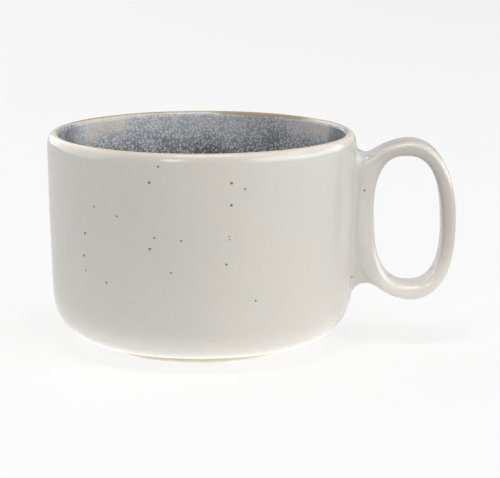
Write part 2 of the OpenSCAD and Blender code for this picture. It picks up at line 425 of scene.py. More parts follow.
# %% Fillet and apron between the strap and the window's frame
loop = join([pad[:, 0], strap[-1, FRONT - 1::-1][:END_STEPS], pad[::-1, -1][1:], strap[0, 1:FRONT]])
start = skin.all_points()[loop]
across = join([-np.cos(quarter), np.zeros(FLAT_OUT - 1), np.cos(quarter[::-1])])
climb = join([np.sin(quarter), np.ones(FLAT_OUT - 1), np.sin(quarter[::-1])])
side, end = np.tile([-1.0, 0.0], (SIDE_STEPS, 1)), np.stack([across, -climb], 1)[:-1]
facing = join([side, end, -side, -end])
WALL_SIDE, LAND_UP, LAND_DOWN = 1.7, 79.9, 20.2
HANDLE_SIDE, HANDLE_UP, HANDLE_DOWN = 1.2, 1.4, 2.15
TOE_UP, TOE_DOWN, TOE_OFF = 75.2, 26.2, 0.45


def slope_at(i):
    step = outer_curve[i + 1] - outer_curve[i]
    return step[1] / step[0]


def toward(side, up, down):
    """A value for the loop's sides that turns into others at its upper and its lower end."""
    return side + (np.where(facing[:, 1] > 0, up, down) - side) * facing[:, 1] ** 2


slope = toward(0, slope_at(root_top), slope_at(root_low - 1))
length = toward(HANDLE_SIDE, HANDLE_UP, HANDLE_DOWN)
down_slope = np.stack([-np.ones(len(loop)), np.zeros(len(loop)), -slope], 1)
leave = start + (length / np.hypot(1, slope))[:, None] * down_slope
landing_z = toward(start[:, 2], LAND_UP, LAND_DOWN)
landing = wall_point(start[:, 1] + WALL_SIDE * facing[:, 0], landing_z)
arrive = wall_point(start[:, 1] + WALL_SIDE / 3 * facing[:, 0], toward(start[:, 2], TOE_UP, TOE_DOWN))
arrive[:, 0] += TOE_OFF * facing[:, 1] ** 2
rings = [loop]
for t in np.linspace(0, 1, FILLET_STEPS + 1)[1:]:
    rings.append(skin.add((1 - t) ** 3 * start + 3 * t * (1 - t) ** 2 * leave + 3 * t * t * (1 - t) * arrive
                          + t ** 3 * landing))
along = np.arange(END_STEPS)
frame_ids = join([ring[row_high - np.arange(SIDE_STEPS), COLUMNS - WINDOW],
                  ring[row_low, (along - WINDOW) % COLUMNS],
                  ring[row_low + np.arange(SIDE_STEPS), WINDOW],
                  ring[row_high, (WINDOW - along) % COLUMNS]])
frame_points = skin.all_points()[frame_ids]
turn_0, turn_1 = (np.arctan2(p[:, 1], p[:, 0]) for p in (landing, frame_points))
for t in np.linspace(0, 1, APRON_STEPS + 1)[1:-1]:
    turn, z = turn_0 + (turn_1 - turn_0) * t, landing[:, 2] + (frame_points[:, 2] - landing[:, 2]) * t
    rings.append(skin.add(polar(wall_radius(z), turn, z)))
collar = closed(np.stack(rings + [frame_ids]))
skin.sheet(collar, "coat", flip=True)
skin.quads(fan, "lining")
print("collar:", collar.shape, "landing z from", landing_z.min().round(2), "to", landing_z.max().round(2))

# %% [markdown]
# ## Slight unevenness
# No thrown pot is exactly round. A displacement modifier could add this, but the coat, the rim band
# and the lining would then drift apart at their seams. So one rule of place moves every point along
# its own normal by less than a tenth of a millimetre, before the skin is cut into its pieces.

# %% Normals of the skin, and the unevenness
def point_normals(points, faces):
    a, b, c, d = (points[faces[:, k]] for k in range(4))
    face_normal = np.cross(c - a, d - b)
    normal = np.zeros_like(points)
    for k in range(4):
        np.add.at(normal, faces[:, k], face_normal)
    return normal / np.maximum(np.linalg.norm(normal, axis=1), 1e-9)[:, None]


def unevenness(p):
    x, y, z = p.T
    turn = np.arctan2(y, x)
    return (0.045 * np.sin(2 * turn + 0.7 + z / 31) + 0.03 * np.sin(3 * turn + 2.1 - z / 17)
            + 0.022 * np.sin(z / 7.1 + 1.4 * np.sin(turn)) + 0.02 * np.sin(5 * turn + z / 9.3)
            + 0.03 * np.sin((x + 0.6 * z) / 6.3) * np.sin((z - y) / 8.7))


skin_points, skin_faces, skin_regions = skin.all_points(), join(skin.faces), np.array(skin.regions)
skin_normals = point_normals(skin_points, skin_faces)
skin_points = skin_points + unevenness(skin_points)[:, None] * skin_normals
skin_normals = point_normals(skin_points, skin_faces)
print("unevenness up to", round(float(np.abs(unevenness(skin_points)).max()), 3), "mm")

# %% [markdown]
# ## Cutting the skin into its glazes
# Each glaze is a thin closed shell: its outer face is a part of the skin, its inner face is the same
# part moved inwards by the glaze's thickness, and a narrow strip joins the two along every edge. A
# Solidify modifier would work out new normals for each part. Here the normals of the whole skin are
# kept, so that light runs across a seam without a break.

# %% Turn points and faces into a mesh with kept normals
def make_piece(name, points, faces, loop_normals=None):
    mesh = bpy.data.meshes.new(name)
    mesh.from_pydata((points * MM).tolist(), [], faces)
    mesh.polygons.foreach_set("use_smooth", [True] * len(faces))
    if loop_normals is not None:
        mesh.normals_split_custom_set(loop_normals.tolist())
    mesh.update()
    piece = bpy.data.objects.new(name, mesh)
    bpy.context.collection.objects.link(piece)
    return piece


def as_lists(quads):
    """Faces as lists, with a quad whose last two points are one made a triangle."""
    return [q[:3] if q[2] == q[3] else q for q in quads.tolist()]


def edge_pairs(faces):
    """The two ends of each side of each face."""
    pairs = join([faces[:, [k, (k + 1) % 4]] for k in range(4)])
    return pairs[pairs[:, 0] != pairs[:, 1]]


def glaze_shell(name, region):
    """A closed shell over one region of the skin."""
    part = skin_faces[skin_regions == region]
    used, local = np.unique(part, return_inverse=True)
    quads, n = local.reshape(part.shape), len(used)
    outer, normal = skin_points[used], skin_normals[used]
    pairs = edge_pairs(quads)
    edge = pairs[~np.isin(pairs[:, 1] * n + pairs[:, 0], pairs[:, 0] * n + pairs[:, 1])]
    strip = np.stack([edge[:, 1], edge[:, 0], edge[:, 0] + n, edge[:, 1] + n], 1)
    points = join([outer, outer - COAT * normal])
    front, back = as_lists(quads), [f[::-1] for f in as_lists(quads + n)]
    corners = points[strip]
    across = np.cross(corners[:, 2] - corners[:, 0], corners[:, 3] - corners[:, 1])
    across /= np.linalg.norm(across, axis=1)[:, None]
    loops = join([normal[join(front)], -normal[join(back) - n], np.repeat(across, 4, axis=0)])
    piece = make_piece(name, points, front + back + strip.tolist(), loops)
    print(name, len(points), "points, edge of", len(edge))
    return piece


coat = glaze_shell("pale_coat", "coat")
band = glaze_shell("rim_band_glaze", "band")
lining = glaze_shell("blue_grey_lining", "lining")

# %% [markdown]
# ## The clay of the cup
# Under the glazes the clay is one turned body. It shows only at the foot, which a potter trims and
# leaves bare so that it doesn't stick to the kiln's shelf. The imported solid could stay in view, but
# then it wouldn't follow the glaze's unevenness. So the body is turned from the glaze's outlines,
# moved in, with the trimmed ring and the shallow hollow below.

# %% Turn the clay cup
FOOT_R, FOOT_RING, FOOT_HOLLOW, FOOT_EDGE, FOOT_TOP = 35.25, 4.6, 2.0, 0.5, 0.9
GROOVE_R, GROOVE_START, RING_EDGE = 1.0, 1.3, 0.6
UNDER_GLAZE, TOOL_MARK, MARKS_PER_MM, TOE_CLAY_STEP, CLAY_STEP = 0.4, 0.035, 2.9, 0.25, 1.4


def moved_in(outline, depth):
    along = np.gradient(outline, axis=0)
    normal = np.stack([along[:, 1], -along[:, 0]], 1) / np.linalg.norm(along, axis=1)[:, None]
    return outline - depth * normal


def corner(centre, radius, start, end):
    return arc(centre, radius, np.radians(np.linspace(start, end, 7)))


hollow_r = FOOT_R - FOOT_RING
hollow = np.stack([np.linspace(0, hollow_r - GROOVE_START, 40), np.full(40, FOOT_HOLLOW)], 1)
hollow[:, 1] += TOOL_MARK * np.sin(hollow[:, 0] * MARKS_PER_MM) * np.clip(hollow[:, 0] / 6, 0, 1)
foot = join([hollow, corner((hollow_r - GROOVE_R, FOOT_HOLLOW - GROOVE_R), GROOVE_R, 90, 8),
             corner((hollow_r + RING_EDGE, RING_EDGE), RING_EDGE, 188, 270),
             corner((FOOT_R - FOOT_EDGE, FOOT_EDGE), FOOT_EDGE, -90, 0), [[FOOT_R, FOOT_TOP]]])
clay_out, clay_in = moved_in(outside, UNDER_GLAZE), moved_in(inside, UNDER_GLAZE)
clay_toe = clay_out[(clay_out[:, 1] > foot[-1, 1] + 0.3) & (clay_out[:, 1] <= FINE_LOW + UNDER_GLAZE)]
body = join([clay_out[clay_out[:, 1] > FINE_LOW + UNDER_GLAZE], clay_in[1:]])
clay_rows = join([foot, walk(clay_toe, TOE_CLAY_STEP), walk(body, CLAY_STEP)[1:-1]])
clay_points = around(clay_rows[1:]).reshape(-1, 3)
clay_points = join([clay_points, [[0, 0, clay_rows[0, 1]], [0, 0, FLOOR_H - UNDER_GLAZE]]])
grid = closed(np.arange((len(clay_rows) - 1) * COLUMNS).reshape(-1, COLUMNS))
under, inner = (np.full(COLUMNS, len(clay_points) - k) for k in (2, 1))
clay_quads = join([grid_quads(grid), np.stack([under, grid[0, 1:], grid[0, :-1], grid[0, :-1]], 1),
                   np.stack([grid[-1, :-1], grid[-1, 1:], inner, inner], 1)])
clay_normals = point_normals(clay_points, clay_quads)
under_glaze = np.clip((np.repeat(np.arange(1, len(clay_rows)), COLUMNS) - len(foot)) / 5, 0, 1)
under_glaze = join([under_glaze, [0, 1]])
clay_points = clay_points + (under_glaze * unevenness(clay_points))[:, None] * clay_normals
clay = make_piece("clay_cup", clay_points, as_lists(clay_quads))
print("clay cup:", len(clay_rows), "rows")

# %% [markdown]
# ## The clay of the handle
# The handle's clay lies under the glaze and is never seen, but a part should be right inside too.
# It is the same strap and fillet as the skin, moved in by the glaze's thickness, and closed by a
# patch that lies against the cup. The patch is filled as a grid between its four edges, and it
# stands off the cup a little in the middle, where the slip that joins the two has its place.

# %% Close the strap on its back
SLIP, UNDER_STRAP = 0.6, 0.46
core = skin_points - UNDER_STRAP * skin_normals
edge_loop, a, b = collar[FILLET_STEPS], SIDE_STEPS, SIDE_STEPS + END_STEPS
front_ids, low_ids = edge_loop[:a + 1], edge_loop[a:b + 1]
back_ids, top_ids = edge_loop[b:a + b + 1][::-1], edge_loop[a + b:][::-1]
u = np.linspace(0, 1, END_STEPS + 1)[None, :, None]
v = np.linspace(0, 1, SIDE_STEPS + 1)[:, None, None]
top_edge, low_edge = core[top_ids][None], core[low_ids][None]
near_edge, far_edge = core[front_ids][:, None], core[back_ids][:, None]
patch = ((1 - u) * near_edge + u * far_edge + (1 - v) * top_edge + v * low_edge
         - (1 - u) * (1 - v) * top_edge[:, :1] - u * (1 - v) * top_edge[:, -1:]
         - (1 - u) * v * low_edge[:, :1] - u * v * low_edge[:, -1:])
stand = np.clip(4 * np.minimum(np.minimum(u, 1 - u), np.minimum(v, 1 - v)), 0, 1)[..., 0]
patch[..., 0] = np.sqrt((wall_radius(patch[..., 2]) - UNDER_STRAP + SLIP * stand) ** 2 - patch[..., 1] ** 2)
patch_ids = np.arange(patch.shape[0] * patch.shape[1]).reshape(patch.shape[:2]) + len(core)
patch_ids[:, 0], patch_ids[:, -1], patch_ids[0], patch_ids[-1] = front_ids, back_ids, top_ids, low_ids
core_faces = join([grid_quads(strap), grid_quads(pad, True), grid_quads(collar[:FILLET_STEPS + 1], True),
                   grid_quads(patch_ids)])
used, local = np.unique(core_faces, return_inverse=True)
clay_handle = make_piece("clay_handle", join([core, patch.reshape(-1, 3)])[used],
                         local.reshape(core_faces.shape).tolist())
print("clay handle:", len(used), "points")

# %% Fix the pieces to the frame
for piece, slot_name, nodes in ((coat, "pale_glaze", ("outer_glaze", "handle_glaze")),
                                (band, "rim_brown", ("rim_band",)),
                                (lining, "blue_grey_glaze", ("liner_glaze",)),
                                (clay, "cup_clay", ("cup_body",)),
                                (clay_handle, "handle_clay", ("handle",))):
    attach(piece, "root")
    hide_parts(*nodes)

# %% [markdown]
# ## Helpers for node work
# A finish here is a small network of nodes. Adding each node takes three or four lines, so a few
# helpers do it: one adds a node and feeds its sockets, one opens a node group with named sockets,
# and the others are short names for the nodes that come again and again. A socket knows its tree,
# so that most of them need not be told it. Groups hold what several finishes share.

# %% Add a node, open a group
def feed(socket, value):
    """Link a node's output to a socket, or set the socket to a number or a colour."""
    if isinstance(value, bpy.types.NodeSocket):
        socket.id_data.links.new(value, socket)
    else:
        socket.default_value = value


def add(kind, sockets=(), tree=None, **settings):
    """A shader node with its settings made and its sockets fed, in the tree of what feeds it."""
    sockets = dict(sockets)
    if tree is None:
        tree = next(v.id_data for v in sockets.values() if isinstance(v, bpy.types.NodeSocket))
    node = tree.nodes.new("ShaderNode" + kind)
    for key, value in settings.items():
        setattr(node, key, value)
    for key, value in sockets.items():
        feed(node.inputs[key], value)
    return node


def open_group(name, inputs, outputs):
    """A node group whose sockets are all numbers, with its given values and its results."""
    tree = bpy.data.node_groups.new(name, "ShaderNodeTree")
    for label, value in inputs.items():
        socket = tree.interface.new_socket(name=label, in_out="INPUT", socket_type="NodeSocketFloat")
        socket.default_value = value
    for label in outputs:
        tree.interface.new_socket(name=label, in_out="OUTPUT", socket_type="NodeSocketFloat")
    print("group:", name)
    return tree, tree.nodes.new("NodeGroupInput").outputs, tree.nodes.new("NodeGroupOutput").inputs


def use(tree, group, **sockets):
    return add("Group", sockets, tree, node_tree=group).outputs


# %% Short names for common nodes
def calc(operation, *values):
    return add("Math", enumerate(values), operation=operation).outputs[0]


def times(value, *others):
    """The product of two or more values."""
    for other in others:
        value = calc("MULTIPLY", value, other)
    return value


def times_plus(value, factor, summand):
    return calc("MULTIPLY_ADD", value, factor, summand)


def less(value, taken):
    return calc("SUBTRACT", value, taken)


def vector(operation, *values):
    """A vector operation. A length or a distance comes out as a number."""
    node = add("VectorMath", enumerate(values), operation=operation)
    return node.outputs["Value" if operation in ("LENGTH", "DISTANCE") else "Vector"]


def xyz(value):
    return add("SeparateXYZ", {0: value}).outputs


def ramp(value, low, high, to_low=0.0, to_high=1.0, smooth=True):
    """The value moved from low..high to another range, and held at its ends."""
    sockets = {"Value": value, "From Min": low, "From Max": high, "To Min": to_low, "To Max": to_high}
    return add("MapRange", sockets, interpolation_type="SMOOTHSTEP" if smooth else "LINEAR").outputs["Result"]


def noise(place, scale, detail=2.0, rough=0.5):
    sockets = {"Vector": place, "Scale": scale, "Detail": detail, "Roughness": rough}
    return add("TexNoise", sockets).outputs["Fac"]


def mix(share, first, second, blend="MIX"):
    return add("Mix", {0: share, 6: first, 7: second}, data_type="RGBA", blend_type=blend).outputs[2]


def place_of(tree):
    return add("TexCoord", tree=tree).outputs["Object"]


def shaken(tree, scale, amount):
    """The place on the piece, moved a little by fine noise, so that round marks come out uneven."""
    here = place_of(tree)
    wobble = add("TexNoise", {"Vector": here, "Scale": scale, "Detail": 1.0}).outputs["Color"]
    return vector("ADD", here, vector("MULTIPLY", wobble, (amount,) * 3))


def cells(place, scale, randomness=1.0):
    """Cell noise: the distance to the nearest cell's point, and that cell's three chance values."""
    sockets = {"Vector": place, "Scale": scale, "Randomness": randomness}
    found = add("TexVoronoi", sockets, feature="F1").outputs
    return found["Distance"], *add("SeparateColor", {"Color": found["Color"]}).outputs


def tone(red, green, blue):
    """A colour as seen on a screen, 0 to 255, turned into the linear values that shaders use."""
    return tuple(c / 12.92 if c <= 0.04045 else ((c + 0.055) / 1.055) ** 2.4
                 for c in (red / 255, green / 255, blue / 255)) + (1,)


print("a mid cream in linear light:", [round(v, 3) for v in tone(214, 208, 199)])

# %% [markdown]
# ## Drift of tone
# A dipped glaze is never one colour: where it ran a little thicker it is greyer, where it is thinner
# the warm clay shows through. Two noises of different size are added, one the size of a thumb and
# one the size of a fingertip. Low contrast matters more than the pattern.

# %% Group: drift of tone
drift_group, given, result = open_group("drift of tone", {"Broad": 22.0, "Fine": 90.0}, ["Value"])
here = place_of(drift_group)
broad = noise(here, given["Broad"], 1.5)
fine = noise(here, given["Fine"], 3.0, 0.6)
both = times_plus(fine, 0.35, times(broad, 0.65))
feed(result["Value"], ramp(both, 0.34, 0.66))

# %% [markdown]
# ## Faint lines from the wheel
# The sponge leaves fine level lines on the wall, too shallow to be worth a shape of their own. They
# are noise whose grain is pulled long in x and y and short in z, so that they run round the cup.

# %% Group: lines from the wheel
GRAIN = (14.0, 14.0, 420.0)
lines_group, given, result = open_group("lines from the wheel", {"Fineness": 1.0}, ["Value"])
lines = noise(vector("MULTIPLY", place_of(lines_group), GRAIN), given["Fineness"], 3.0, 0.55)
feed(result["Value"], ramp(lines, 0.3, 0.7))

# %% [markdown]
# ## Iron specks by chance
# Grains of iron in the clay melt through the glaze as small brown dots. A cell noise gives one point
# per cell. Each cell has a random number that decides if its speck shows, and how large it is, so
# that most cells stay empty and sizes differ.

# %% Group: iron specks
speck_group, given, result = open_group(
    "iron specks", {"Cell": 250.0, "Radius": 0.09, "Share": 0.2, "Soft": 0.5}, ["Mask"])
distance, red, green, blue = cells(shaken(speck_group, 1500.0, 0.0003), given["Cell"])
shows = calc("LESS_THAN", red, given["Share"])
size = times(given["Radius"], times_plus(green, 0.8, 0.5))
dark_core = times(size, less(1.0, given["Soft"]))
spot = ramp(distance, dark_core, size, 1.0, 0.0)
strength = times_plus(blue, 0.7, 0.3)
feed(result["Mask"], times(spot, shows, strength))

# %% [markdown]
# ## The specks that tell this mug from another
# The eye compares the larger specks one by one, so these are given one by one. Each is named by where
# it is seen in the picture, and a ray from the camera finds the place on the skin, so that the speck
# sits on the glaze and stays there from any side.

# %% Specks by place in the picture, across and down; then each kind's radius in mm and strength
LARGE_SPECKS = [(149, 182.6), (231.6, 183.2), (231.4, 205.4), (85, 233.2), (149.8, 249.2), (84.2, 255.6)]
MEDIUM_SPECKS = [(158, 166.8), (93.8, 206.6), (116.8, 216.2), (181.2, 241.2), (85.8, 270.2),
                 (106.4, 282.6), (171, 272.8), (226.4, 264.6), (255.8, 300.8), (154.4, 238.2), (245.2, 189),
                 (351.8, 277.2), (364.6, 190.4), (435.8, 259.3)]
FAINT_SPECKS = [(103, 168), (68.8, 287), (222.8, 279.6), (237.2, 237.8), (95.4, 237.6), (152.8, 236),
                (135.4, 244), (130.2, 247.4), (89.4, 272), (68.2, 270.6), (151.4, 271.2), (119.4, 303.6),
                (121.4, 308), (132.8, 303.4), (138, 310.4), (139.4, 320.6), (253.2, 306.4), (276, 188.2),
                (264.2, 183.2), (243.2, 168.4), (210.2, 165.4), (157.6, 184.6), (138.6, 187.4), (68.4, 195),
                (194.8, 229.8), (335.8, 233.4), (341.4, 254), (341.4, 261.8), (357.2, 179.4), (214.6, 341.6),
                (292.2, 312), (370, 233.3), (394.4, 142.9), (435.1, 160.5), (451.6, 189.8), (442.5, 256.9),
                (401.1, 280), (412.5, 279.6), (421.3, 286.3), (443.5, 218.1), (106.6, 303.4), (164.4, 292.6)]
LONG_SPECKS = [(229.2, 236.4), (229.9, 239.6), (333.9, 309.8), (333.3, 313)]
SMUDGE = (237, 218.6)


def on_skin(across, down, piece=coat):
    """The point of a piece seen at a place in the picture, in metres, or None beside it."""
    right, up = (across - IMAGE_W / 2) / FOCAL_PX, (CENTRE_PX - down) / FOCAL_PX
    aim = Vector((right, math.cos(CAMERA_DOWN) + up * math.sin(CAMERA_DOWN),
                  -math.sin(CAMERA_DOWN) + up * math.cos(CAMERA_DOWN)))
    hit, place, _, _ = piece.ray_cast(camera.location, aim.normalized())
    return tuple(place) if hit else None


SPECKS = ((LARGE_SPECKS, 0.8, 1.0), (MEDIUM_SPECKS, 0.66, 0.9), (FAINT_SPECKS, 0.5, 0.45),
          (LONG_SPECKS, 0.6, 0.7), ([SMUDGE], 1.9, 0.16))
speck_list = [(on_skin(*p), radius, strength) for places, radius, strength in SPECKS for p in places]
speck_list = [s for s in speck_list if s[0] is not None]
print("specks placed by hand:", len(speck_list), "first at", [round(v, 4) for v in speck_list[0][0]])

# %% Group: the placed specks
SPECK_SHAKE, SPECK_CORE = 0.0005, 0.35
placed_group, given, result = open_group("placed specks", {}, ["Mask"])
here, mask = shaken(placed_group, 1400.0, SPECK_SHAKE), None
for place, radius, strength in speck_list:
    away = vector("DISTANCE", here, tuple(v + SPECK_SHAKE / 2 for v in place))
    spot = ramp(away, radius * MM * SPECK_CORE, radius * MM, strength, 0.0)
    mask = spot if mask is None else calc("MAXIMUM", mask, spot)
feed(result["Mask"], mask)

# %% [markdown]
# ## Painted highlight on edges, pooled glaze in hollows
# Glaze gathers in hollows and takes a slightly different tone there. Edges are painted lighter and a
# little warmer: a painted highlight for the light that rounded edges catch. The skin's own bending
# tells edge from hollow: for each point, how far the normals of its neighbours spread. It is worked
# out here and kept on the mesh as a value per point, which a material can read by its name. Edges
# that face up get more of the painted highlight than upright ones, as the light comes from above.

# %% Edges and hollows as a value per point
def bending(points, normals, faces, rounds=6):
    n = len(points)
    a, b = edge_pairs(faces).T
    step = points[b] - points[a]
    bend = np.sum((normals[b] - normals[a]) * step, 1) / np.maximum(np.sum(step ** 2, 1), 0.09)
    count = np.maximum(np.bincount(a, minlength=n) + np.bincount(b, minlength=n), 1)
    value = (np.bincount(a, bend, n) + np.bincount(b, bend, n)) / count
    for _ in range(rounds):
        value = (np.bincount(a, value[b], n) + np.bincount(b, value[a], n)) / count
    return value


skin_bend = bending(skin_points, skin_normals, skin_faces)
# Edges that face up get more of the painted highlight than upright ones.
HIGHLIGHT_UPRIGHT, HIGHLIGHT_TURN, HIGHLIGHT_LEAST = 0.35, 0.9, 0.1
highlight_share = np.clip(HIGHLIGHT_UPRIGHT + HIGHLIGHT_TURN * skin_normals[:, 2], HIGHLIGHT_LEAST, 1)
skin_bend = np.where(skin_bend > 0, skin_bend * highlight_share, skin_bend)
for piece, region in ((coat, "coat"), (band, "band"), (lining, "lining")):
    part = skin_bend[np.unique(skin_faces[skin_regions == region])]
    layer = piece.data.attributes.new("bend", "FLOAT", "POINT")
    layer.data.foreach_set("value", join([part, part]).astype(np.float32))
print("bend per mm, from hollow to edge:", round(float(skin_bend.min()), 3), round(float(skin_bend.max()), 3))

# %% [markdown]
# ## The rim where the glazes meet
# Both glazes were wiped thin at the lip, and there the iron in the clay burns through as a toasted
# brown that comes and goes round the rim. One mask is shared by coat and band, so that the brown
# fades over the seam. It is a thin line on the crest that widens to a ragged band on the far side
# next to the handle, and on the near side it is hardly more than a warm blush.

# %% Group: rim break
CREST_Z = CUP_H * MM
FAR_SIDE, RAGGED_SCALE = (0.0, 0.03), 420.0
WIDE_FROM, WIDE_TO = (0.001, 0.009), (0.046, 0.038)
break_group, given, result = open_group("rim break", {"Reach": 0.0003, "Near share": 0.12}, ["Brown", "Warm"])
here = place_of(break_group)
x, y, z = xyz(here)
far = ramp(y, *FAR_SIDE)
wide = times(ramp(x, *WIDE_FROM), ramp(x, *WIDE_TO), far)
frayed = less(noise(here, RAGGED_SCALE, 3.0, 0.65), 0.5)
ragged = times_plus(frayed, times_plus(wide, 0.0010, 0.0006), less(CREST_Z, z))
reach = times_plus(wide, 0.0009, given["Reach"])
crest = ramp(less(ragged, reach), 0.0002, -0.0002)
patches = calc("MAXIMUM", wide, ramp(noise(here, 45.0, 2.0), 0.36, 0.6, 0.5, 1.0))
strength = ramp(far, 0.0, 1.0, given["Near share"], 1.0, smooth=False)
feed(result["Brown"], times(crest, patches, strength))
feed(result["Warm"], ramp(ragged, 0.0022, 0.0007))

# %% [markdown]
# ## The pale glaze
# Stoneware glaze is opaque, milky and half matt: light enters a little and is scattered, and the
# surface gives soft highlights. It could be a bought texture, but this one is built from the parts a
# potter would name: body tone, drift, wheel lines, iron specks and a fine orange peel. Over them lie
# a warm painted highlight on edges, and painted shade and light on the handle's loops.

# %% Tones, as they look on a screen
GREY_CREAM, WARM_CREAM = tone(200, 198, 193), tone(204, 200, 191)
# The edge tone is a painted highlight; the pool tone is the glaze's own tone in hollows.
EDGE_HIGHLIGHT_TONE, POOL_TONE = tone(232, 224, 213), tone(203, 200, 192)
# The three handle tones are painted shade and light: darker for the upper loop, lighter for the lower loop,
# darker and browner for the top of the upper loop.
HANDLE_UPPER_SHADE, HANDLE_LOWER_LIGHT, HANDLE_TOP_SHADE = tone(185, 180, 172), tone(224, 219, 211), tone(168, 155, 138)
SPECK_TONE, SPECK_HALO = tone(114, 88, 28), tone(198, 180, 136)
RIM_BROWN, RIM_BEIGE = tone(168, 147, 117), tone(224, 210, 195)
LINING_DARK, LINING_MID, LINING_FLECK = tone(78, 82, 89), tone(174, 177, 181), tone(230, 232, 235)
# A cream for the two painted patches of light in the lining.
LIT_PATCH_TONE = tone(215, 207, 196)
CERAMIC_IOR = 1.5


# %% Material: pale glaze
def new_material(name):
    material = bpy.data.materials.new(name)
    material.use_nodes = True
    shader = material.node_tree.nodes["Principled BSDF"]
    shader.inputs["IOR"].default_value = CERAMIC_IOR
    print("material:", name)
    return material, material.node_tree, shader


def finish_surface(shader, colour, roughness, height, strength, depth):
    """Link what changes over the surface to the shader; depth is the bump's, in metres."""
    feed(shader.inputs["Base Color"], colour)
    feed(shader.inputs["Roughness"], roughness)
    bump = add("Bump", {"Height": height, "Strength": strength, "Distance": depth})
    feed(shader.inputs["Normal"], bump.outputs[0])


# Each pair is the range over which a mask rises: in metres, as a normal's z, or as bend per mm.
LOOP_X, LOOP_SHADE_Z, LOOP_LIGHT_Z = (0.0655, 0.0715), (0.025, 0.055), (0.042, 0.024)
LEVEL, EDGE_BEND, HOLLOW_BEND, UNSEEN_Y = (0.6, 0.95), (0.05, 0.18), (-0.05, -0.3), (0.0, 0.006)


def glaze_colour(tree, warm_share):
    """The pale glaze's colour, one layer over the other: its own tones and specks, painted shade and light on
    the handle's loops, and a painted highlight on edges.
    """
    here = place_of(tree)
    x, y, z = xyz(here)
    blend = times_plus(use(tree, drift_group)[0], 0.8, times(use(tree, lines_group)[0], 0.2))
    milk = ramp(noise(here, 900.0, 3.0, 0.7), 0.3, 0.7, 0.975, 1.015)
    milk = add("CombineColor", {0: milk, 1: milk, 2: milk}).outputs[0]
    colour = mix(1.0, mix(blend, GREY_CREAM, WARM_CREAM), milk, "MULTIPLY")
    bend = add("Attribute", tree=tree, attribute_name="bend").outputs["Fac"]
    # Painted shade on the handle's upper loop and on the upward-facing top of that loop, painted light on its
    # lower loop.
    loop = ramp(x, *LOOP_X)
    high = times(loop, ramp(z, *LOOP_SHADE_Z))
    low = times(loop, ramp(z, *LOOP_LIGHT_Z))
    normal = add("NewGeometry", tree=tree).outputs["Normal"]
    top_shade = times(high, ramp(xyz(normal)["Z"], *LEVEL))
    # Painted highlight on convex edges, weaker on the handle's upper loop.
    edge_highlight = times(ramp(bend, *EDGE_BEND), ramp(high, 0.0, 1.0, 0.85, 0.6))
    broken = use(tree, break_group)
    large = use(tree, speck_group, Cell=105.0, Radius=0.1, Share=1.0)[0]
    for mask, share, tint in (
            # Painted shade and light on the handle's loops:
            (high, 0.75, HANDLE_UPPER_SHADE), (low, 0.75, HANDLE_LOWER_LIGHT), (top_shade, 0.7, HANDLE_TOP_SHADE),
            # Painted highlight on edges, then pooled glaze in hollows:
            (edge_highlight, 1.0, EDGE_HIGHLIGHT_TONE), (ramp(bend, *HOLLOW_BEND), 0.4, POOL_TONE),
            (broken["Warm"], warm_share, RIM_BEIGE), (broken["Brown"], 1.0, RIM_BROWN),
            (times(large, ramp(y, *UNSEEN_Y)), 0.85, SPECK_TONE),
            (use(tree, speck_group, Cell=260.0, Radius=0.09, Share=0.05)[0], 0.35, SPECK_HALO),
            (use(tree, speck_group, Cell=700.0, Radius=0.2, Share=0.06)[0], 0.16, SPECK_HALO)):
        colour = mix(times(mask, share), colour, tint)
    return colour


def satin_height(tree):
    """Fine orange peel over slow waves and the lines from the wheel."""
    here = place_of(tree)
    peel = times_plus(noise(here, 700.0, 2.0), 0.3, noise(here, 130.0, 1.0))
    return times_plus(use(tree, lines_group)[0], 0.25, peel)


def roughness_of(tree, low, high, scale=160.0):
    return ramp(noise(place_of(tree), scale, 3.0), 0.3, 0.7, low, high)


SATIN, SATIN_BUMP = (0.11, 0.17), (0.35, 0.00006)
pale, tree, shader = new_material("pale speckled glaze")
placed = use(tree, placed_group)[0]
colour = mix(ramp(placed, 0.02, 0.5, 0.0, 0.55), glaze_colour(tree, 0.5), SPECK_HALO)
colour = mix(ramp(placed, 0.35, 0.95, 0.0, 0.92), colour, SPECK_TONE)
finish_surface(shader, colour, roughness_of(tree, *SATIN), satin_height(tree), *SATIN_BUMP)
coat.data.materials.append(pale)

# %% [markdown]
# ## Painted patches of light in the lining
# In two places under the far rim the lining is painted a milky cream: painted light where the lamps
# shine in over the rim. Like the specks, each patch is named by where it is seen, and the one at the
# right ends abruptly at the rim's shadow edge.

# %% Group: painted patches of light in the lining
LIT_PATCH_PLACES = [(90, 130.5), (97, 128), (104, 126), (111, 124), (118, 122),
         (300, 124.5), (308, 126), (316, 128), (324, 130)]
LIT_PATCH_END_X, LIT_PATCH_END_FADE = 0.0515, 0.0005
lit_patch_group, given, result = open_group("painted light patches", {"Spread": 0.0062}, ["Mask"])
here, mask = place_of(lit_patch_group), None
for place in [on_skin(*p, lining) or on_skin(*p, band) for p in LIT_PATCH_PLACES]:
    away = calc("DIVIDE", vector("DISTANCE", here, place), given["Spread"])
    spot = ramp(away, 0.35, 1.0, 1.0, 0.0)
    mask = spot if mask is None else calc("MAXIMUM", mask, spot)
# The right patch ends abruptly, at the rim's shadow edge.
end = ramp(xyz(here)["X"], LIT_PATCH_END_X, LIT_PATCH_END_X + LIT_PATCH_END_FADE, 1.0, 0.0)
patch_grain = ramp(noise(here, 160.0, 3.0, 0.6), 0.3, 0.62, 0.35, 1.0)
feed(result["Mask"], times(mask, end, patch_grain))

# %% [markdown]
# ## The lining's colour
# The lining breaks up into small pale flecks on a dark blue-grey ground, as crystals do in a cooling
# glaze. Round cells with random radii make the flecks, and a finer noise makes the haze between
# them. The rim's inner half needs the same colour, so it is a function that both materials call.

# %% Colours at the rim and of the lining
INSIDE_DROP, INSIDE_FADE = 0.0006, (0.00035, 0.0006)
